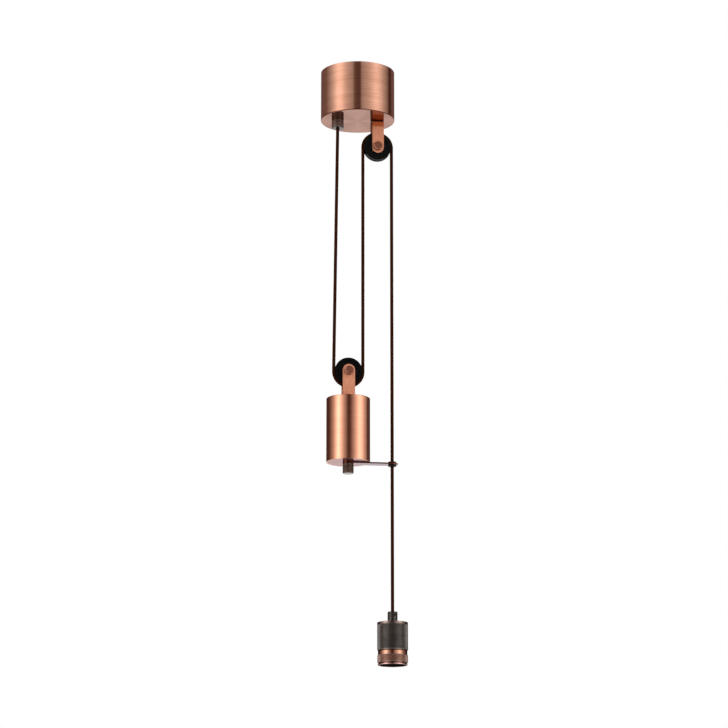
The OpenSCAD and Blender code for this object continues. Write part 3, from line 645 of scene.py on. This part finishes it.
def thread_group():
    """A round bead wound inside a tube"""
    group, g, given = geometry_group("thread", [
        ("Turns", "NodeSocketFloat"), ("Centre", "NodeSocketFloat"), ("Radius", "NodeSocketFloat"),
        ("Bead", "NodeSocketFloat"), ("Base", "NodeSocketFloat"), ("Height", "NodeSocketFloat"),
        ("Material", "NodeSocketMaterial")])
    coil = g.node("GeometryNodeCurveSpiral", sockets={
        "Resolution": 64, "Rotations": given["Turns"], "Start Radius": given["Radius"],
        "End Radius": given["Radius"], "Height": given["Height"]})
    bead = g.node("GeometryNodeCurvePrimitiveCircle", sockets={
        "Resolution": 8, "Radius": given["Bead"]})
    winding = g.node("GeometryNodeCurveToMesh", sockets={
        "Curve": coil, "Profile Curve": bead, "Fill Caps": True})
    winding = g.node("GeometryNodeTransform", sockets={
        "Geometry": winding, "Translation": g.vector(X=given["Centre"], Z=given["Base"])})
    finish_group(g, given["Body"], winding, given["Material"])
    return group


def grow(piece, group, **given):
    """Runs a geometry group on the piece and keeps the result as its plain mesh.

    Every number but Turns that isn't a count is a length in millimetres.
    """
    modifier = piece.modifiers.new(group.name, "NODES")
    modifier.node_group = group
    for socket in group.interface.items_tree:
        if socket.in_out == "INPUT" and socket.name in given:
            value = given[socket.name]
            length = socket.socket_type == "NodeSocketFloat" and socket.name != "Turns"
            modifier[socket.identifier] = value * MM if length else value
    ready = piece.evaluated_get(bpy.context.evaluated_depsgraph_get())
    grown = bpy.data.meshes.new_from_object(ready)
    piece.modifiers.remove(modifier)
    piece.data = grown
    grown.name = piece.name


# ---- cord ----

def straight(start, end):
    """Points about two millimetres apart"""
    steps = max(2, round((Vector(end) - Vector(start)).length / 2.0))
    return [Vector(start).lerp(Vector(end), i / steps) for i in range(steps + 1)]


def half_turn(centre, side):
    """Round a pulley from its left to its right; side is 1 over it and -1 under it"""
    (x, z), steps = centre, 40
    return [Vector((x - PITCH_R * math.cos(math.pi * i / steps), 0,
                    z + side * PITCH_R * math.sin(math.pi * i / steps))) for i in range(steps + 1)]


def cord_tube(name, path):
    """A round tube along a path in the plane of the pulleys, closed at both ends"""
    sides, ends = 20, len(path) - 1
    points, faces, uv = [], [], []
    walked = [0.0]
    for here, there in zip(path, path[1:]):
        walked.append(walked[-1] + (there - here).length)
    for i, here in enumerate(path):
        way = (path[min(i + 1, ends)] - path[max(i - 1, 0)]).normalized()
        across = way.cross(Vector((0, 1, 0))).normalized()
        for k in range(sides):
            a = math.tau * k / sides
            points.append(here + (across * math.cos(a) + Vector((0, math.sin(a), 0))) * CORD_R)
    for i in range(ends):
        for k in range(sides):
            j = (k + 1) % sides
            faces.append((i * sides + k, i * sides + j, (i + 1) * sides + j, (i + 1) * sides + k))
            low, high = walked[i] * MM, walked[i + 1] * MM
            uv += [(k / sides, low), ((k + 1) / sides, low), ((k + 1) / sides, high),
                   (k / sides, high)]
    last = ends * sides
    faces += [tuple(range(sides))[::-1], tuple(range(last, last + sides))]
    uv += [(0, 0)] * (2 * sides)
    piece = new_piece(name, points, faces, FINISHES["cord"], uv)
    return piece


LEFT_FROM, LEFT_TO = (GLAND_X, 0, GLAND_Z), (LOWER[0] - PITCH_R, 0, LOWER[1])
MIDDLE_FROM, MIDDLE_TO = (UPPER[0] - PITCH_R, 0, UPPER[1]), (LOWER[0] + PITCH_R, 0, LOWER[1])
RIGHT_FROM, RIGHT_TO = (RIGHT_X, 0, UPPER[1]), (RIGHT_X, 0, GRIP_Z)


def cord_run(name, start, end, node):
    """A straight free run between the ceiling and a body"""
    path = straight(start, end)
    run = cord_tube(name, path)
    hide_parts(node)
    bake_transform(run)


def cord_turn(name, centre, side, body, node):
    """The cord's half turn on a pulley"""
    turn = cord_tube(name, half_turn(centre, side))
    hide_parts(node)
    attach(turn, body)


cord_run("left_cord", LEFT_FROM, LEFT_TO, "cord_left_run")
cord_run("middle_cord", MIDDLE_FROM, MIDDLE_TO, "cord_middle_run")
cord_run("right_cord", RIGHT_FROM, RIGHT_TO, "cord_right_run")
cord_turn("lower_cord_turn", LOWER, -1, "counterweight", "cord_lower_turn")
cord_turn("upper_cord_turn", UPPER, 1, "ceiling", "cord_upper_turn")


# ---- turned pieces ----

KNURL = knurl_group()
THREAD = thread_group()


def knurled(piece, material, x, radius, low, high, columns):
    """Knurl between two heights; the diamonds' tips reach the radius"""
    pitch = math.pi * radius / columns
    rows = int((high - low) / pitch) - 1
    rest = (high - low - (rows - 1) * pitch) / 2
    grow(piece, KNURL, Columns=columns, Rows=rows, Centre=x, Radius=radius - KNURL_DEPTH,
         Depth=KNURL_DEPTH, Base=low + rest, Pitch=pitch, Material=material)


def make_gland():
    """Rounded ribs, about one every two millimetres, over a plain foot"""
    ribs, rib_r, groove_r, bore, mouth_r = 5, 8.25, 7.7, 2.35, 3.0
    foot_r, foot_h, seat = 8.15, 1.2, 0.02
    height = (BASE_Z - GLAND_Z - foot_h) / (ribs + 0.5)
    side = [(groove_r, BASE_Z - seat)]
    for i in range(ribs):
        top = BASE_Z - height * (i + 0.5)
        side += [(groove_r, top + 0.5), (rib_r, top + 0.2), (rib_r, top - height + 0.9),
                 (groove_r, top - height + 0.6)]
    side += [(groove_r, GLAND_Z + 1.3), (foot_r, GLAND_Z + 0.9), (foot_r, GLAND_Z + 0.5),
             (foot_r - 0.6, GLAND_Z)]
    inside = [(mouth_r, GLAND_Z), (bore, GLAND_Z + foot_h), (bore, BASE_Z - seat)]
    piece = turned("gland_body", soften(side + inside, 0.3, 3), FINISHES["gland"], GLAND_X, 64)
    stands_for(piece, "cord_gland", "ceiling")


def make_weight():
    """The can, open below, with a hole for the rod in its roof"""
    wall, roof, rod_hole = 1.5, 2.5, 3.1
    inner, roof_z = CAN_R - wall, CAN_TOP_Z - roof
    outline = soften([(rod_hole, roof_z), (rod_hole, CAN_TOP_Z), (CAN_R, CAN_TOP_Z),
                      (CAN_R, CAN_BASE_Z), (inner, CAN_BASE_Z), (inner, roof_z)],
                     [0.1, 0.3, 0.8, 0.25, 0.1, 0.3])
    piece = turned("weight_body", outline, FINISHES["weight"], LOWER[0], 160)
    stands_for(piece, "weight_can", "counterweight")


def make_grommet():
    """Two soft flanges that hold the arm between them"""
    bore, neck_r, flange_r, flange = 2.5, 3.8, 5.4, 2.4
    low, face_z = ARM_BASE_Z - flange, ARM_BASE_Z + ARM_T
    high = face_z + flange
    outline = soften([(bore, low), (flange_r, low), (flange_r, ARM_BASE_Z), (neck_r, ARM_BASE_Z),
                      (neck_r, face_z), (flange_r, face_z), (flange_r, high), (bore, high)], 0.9)
    piece = turned("guide_eyelet", outline, FINISHES["rubber"], RIGHT_X, 64)
    stands_for(piece, "guide_grommet", "counterweight")


def make_nut():
    """Knurled between two plain rims, with a blind hole for the rod and a drilled centre below"""
    core, rod_hole, centre_r, blind = NUT_R - 0.35, 3.02, 0.4, 2
    outline = soften([(rod_hole, ARM_BASE_Z), (core, ARM_BASE_Z), (NUT_R, ARM_BASE_Z - 0.5),
                      (NUT_R, ARM_BASE_Z - 1), (core, ARM_BASE_Z - 1.3), (core, NUT_BASE_Z + 1.6),
                      (NUT_R, NUT_BASE_Z + 1.3), (NUT_R, NUT_BASE_Z + 0.6),
                      (NUT_R - 0.7, NUT_BASE_Z), (centre_r, NUT_BASE_Z),
                      (centre_r, NUT_BASE_Z + blind), (rod_hole, NUT_BASE_Z + blind)], 0.25, 2)
    piece = turned("weight_nut", outline, FINISHES["nut"], LOWER[0], 96)
    knurled(piece, FINISHES["nut"], LOWER[0], NUT_R - 0.02, NUT_BASE_Z + 1.7, ARM_BASE_Z - 1.4, 36)
    stands_for(piece, "knurled_nut", "counterweight")


def make_shell():
    """A plain shoulder over a knurled side, open below"""
    core, inner, nipple_hole, roof = SHELL_R - KNURL_DEPTH, 18.2, 5.1, 2
    shoulder_z = SHELL_Z - SHOULDER_H
    outline = soften([(nipple_hole, SHELL_Z - roof), (nipple_hole, SHELL_Z), (SHELL_R, SHELL_Z),
                      (SHELL_R, shoulder_z), (core, shoulder_z - 0.3), (core, SHELL_BASE_Z + 0.3),
                      (core - 0.3, SHELL_BASE_Z), (inner, SHELL_BASE_Z), (inner, SHELL_Z - roof)],
                     [0.1, 0.2, 0.8, 0.1, 0.1, 0.1, 0.1, 0.1, 0.1], 6)
    piece = turned("shell_body", outline, FINISHES["shell"], RIGHT_X)
    knurled(piece, FINISHES["shell"], RIGHT_X, SHELL_R, SHELL_BASE_Z + 0.2, shoulder_z - 0.3, 90)
    stands_for(piece, "holder_shell", "lampholder")


def make_ring():
    """A plain neck, a knurled band, a groove and a polished lip"""
    bore, neck, band, groove, lip = 17.5, 19.2, 20.0, 18.8, 19.4
    core, neck_z = band - KNURL_DEPTH, RING_Z - NECK_H
    outline = soften([(bore, RING_Z), (neck, RING_Z), (neck, neck_z), (band - 0.4, neck_z),
                      (core, neck_z - 0.6), (core, RING_BASE_Z + 3.2), (groove, RING_BASE_Z + 3.0),
                      (groove, RING_BASE_Z + LIP_H + 0.1), (lip, RING_BASE_Z + LIP_H - 0.1),
                      (lip - 0.1, RING_BASE_Z), (bore, RING_BASE_Z)],
                     [0.1, 0.2, 0.1, 0.3, 0.3, 0.2, 0.1, 0.1, 0.3, 0.4, 0.2], 5)
    piece = turned("ring_body", outline, FINISHES["ring"], RIGHT_X)
    knurled(piece, FINISHES["ring"], RIGHT_X, band, RING_BASE_Z + 3.1, neck_z - 0.4, 90)
    stands_for(piece, "shade_ring", "ring")


def make_socket():
    """The lamp's screw shell, with its thread standing inwards"""
    low, high, inner, outer = -807.8, -787.8, 13.45, 13.8
    turns, bead, first_turn, wound_h = 4.5, 0.3, 2.6, 16.4
    piece = turned("lamp_thread", [(inner, low), (outer, low), (outer, high), (inner, high)],
                   FINISHES["socket"], RIGHT_X, 72)
    grow(piece, THREAD, Turns=turns, Centre=RIGHT_X, Radius=inner, Bead=bead,
         Base=low + first_turn, Height=wound_h, Material=FINISHES["socket"])
    stands_for(piece, "screw_shell", "lampholder")


make_gland()
make_weight()
make_grommet()
make_nut()
make_shell()
make_ring()
make_socket()


# ---- studio ----

# Strength of the room round the object, by degrees from the camera's side, right of it when
# positive. Two tall soft boxes stand beside the camera, with a dim gap between them. Metal sees
# the low room from the lampholder, the middle one from the counterweight and the high one from
# the canopy.
LOW_ROOM = [
    (-180, 0.04), (-135, 0.04), (-107, 0.14), (-96, 0.3), (-84, 0.6), (-74, 1.0), (-64, 1.5),
    (-56, 1.75), (-47, 1.4), (-39, 0.8), (-30, 0.42), (-15, 0.1), (-8, 0.05), (2, 0.05),
    (8, 0.12), (16, 0.32), (32, 0.65), (42, 0.95), (52, 1.45), (60, 1.5), (68, 1.15), (76, 0.7),
    (86, 0.36), (98, 0.2), (112, 0.12), (135, 0.05), (180, 0.04),
]
MIDDLE_ROOM = [
    (-180, 0.05), (-125, 0.05), (-110, 0.12), (-93, 0.33), (-79, 0.62), (-66, 1.2), (-54, 2.05),
    (-48, 1.9), (-42, 1.5), (-31, 0.92), (-20, 0.52), (-9, 0.27), (-3, 0.1), (1, 0.06),
    (10, 0.06), (14, 0.1), (24, 0.3), (34, 0.55), (44, 0.86), (54, 1.28), (61, 1.65), (69, 1.6),
    (82, 1.1), (97, 0.6), (114, 0.26), (130, 0.07), (180, 0.05),
]
HIGH_ROOM = [
    (-180, 0.12), (-136, 0.15), (-115, 0.19), (-100, 0.41), (-86, 0.7), (-74, 1.1), (-64, 1.42),
    (-52, 1.34), (-42, 0.96), (-32, 0.7), (-22, 0.55), (-14, 0.42), (-11, 0.19), (-6, 0.12),
    (5, 0.09), (9, 0.12), (12, 0.38), (18, 0.5), (25, 0.58), (34, 0.7), (44, 0.9), (55, 1.17),
    (65, 1.22), (77, 0.95), (90, 0.6), (103, 0.38), (111, 0.2), (117, 0.06), (127, 0.05),
    (134, 0.15), (180, 0.12),
]


def grey(value):
    """Grey, warm where it is dim"""
    warm = max(0.0, 1 - value / 0.4)
    return (value * (1 + 0.35 * warm), value * (1 - 0.15 * warm), value * (1 - 0.25 * warm), 1)


def studio():
    """White behind the object; metal sees the room.

    height is the sine of the angle above level, and toward is -1 away behind the object and 1 on
    the camera's side.
    """
    f = Finish(bpy.data.worlds.new("studio"))
    bpy.context.scene.world = f.owner
    f.owner.cycles.sampling_method = "NONE"
    way = f.node("ShaderNodeTexCoord", output="Generated")
    toward = f.vector_math("DOT_PRODUCT", way, -HEADING, output=1)
    aside = f.vector_math("DOT_PRODUCT", way, ASIDE, output=1)
    turn = aside.math("ARCTAN2", toward) / math.tau + 0.5
    low, middle, high = (
        f.node("ShaderNodeValToRGB", {
            "stops": [(degrees / 360 + 0.5, grey(value)) for degrees, value in room]},
            {"Fac": turn})
        for room in (LOW_ROOM, MIDDLE_ROOM, HIGH_ROOM))
    height = f.part(way, 2)
    upper = f.blend(f.step(height, 0.26, 0.3), middle, high)
    seen = f.blend(f.step(height, 0.15, 0.18), low, upper)
    seen = f.blend(f.step(height, 0.4, 0.5), seen, low)
    seen = f.blend(f.step(height, 0.75, 0.95), seen, grey(0.12))
    ground = f.blend(f.step(toward, -0.9, -0.5), grey(0.88), grey(0.35))
    ground = f.blend(f.step(toward, -0.15, 0.1), ground, low)
    seen = f.blend(f.step(height, -0.06, 0.02), ground, seen)
    light = f.blend(f.node("ShaderNodeLightPath", output="Is Glossy Ray"), grey(0.62), seen)
    for ray in ("Is Camera Ray", "Is Transmission Ray"):
        light = f.blend(f.node("ShaderNodeLightPath", output=ray), light, grey(1.0))
    shader = f.node("ShaderNodeBackground", sockets={"Color": light, "Strength": 1.0})
    f.node("ShaderNodeOutputWorld", sockets={"Surface": shader})


def soft_box(name, turn, power):
    """turn is in degrees from the camera's side, right of it when positive"""
    target, off, height, width, tall = Vector((0.01, 0, -0.4)), 2.4, 0.5, 1.2, 2.0
    lamp = bpy.data.lights.new(name, "AREA")
    lamp.shape, lamp.size, lamp.size_y, lamp.energy = "RECTANGLE", width, tall, power
    box = bpy.data.objects.new(name, lamp)
    bpy.context.scene.collection.objects.link(box)
    angle = math.radians(turn)
    way = -HEADING * math.cos(angle) + ASIDE * math.sin(angle)
    box.location = target + way * off + Vector((0, 0, height))
    box.rotation_mode = "QUATERNION"
    box.rotation_quaternion = (target - box.location).to_track_quat("-Z", "Y")
    box.visible_glossy = False


def floor():
    """Pale floor, clear from beneath"""
    size, z = 9000, -1500
    f = finish("studio floor")
    cloud = f.noise(f.place((2, 2, 2)), detail=2.0)
    paint = f.node("ShaderNodeBsdfPrincipled", sockets={
        "Base Color": f.blend(cloud, rgb(0.9, 0.9, 0.9), rgb(0.92, 0.92, 0.92)),
        "Roughness": 0.9})
    white = f.node("ShaderNodeEmission", sockets={"Color": rgb(1, 1, 1), "Strength": 1.0})
    camera_ray = f.node("ShaderNodeLightPath", output="Is Camera Ray")
    clear = f.node("ShaderNodeBsdfTransparent")
    above = f.node("ShaderNodeMixShader", sockets={0: camera_ray * 0.6, 1: paint, 2: white})
    back = f.node("ShaderNodeNewGeometry", output="Backfacing")
    f.node("ShaderNodeOutputMaterial", sockets={
        "Surface": f.node("ShaderNodeMixShader", sockets={0: back, 1: above, 2: clear})})
    corners = [(-size, -size, z), (size, -size, z), (size, size, z), (-size, size, z)]
    piece = new_piece("floor", corners, [(0, 1, 2, 3)], f.owner)
    piece.visible_glossy = False


studio()
floor()
soft_box("left soft box", -58, 26)
soft_box("right soft box", 64, 22)

bpy.context.scene.view_settings.view_transform = "Standard"
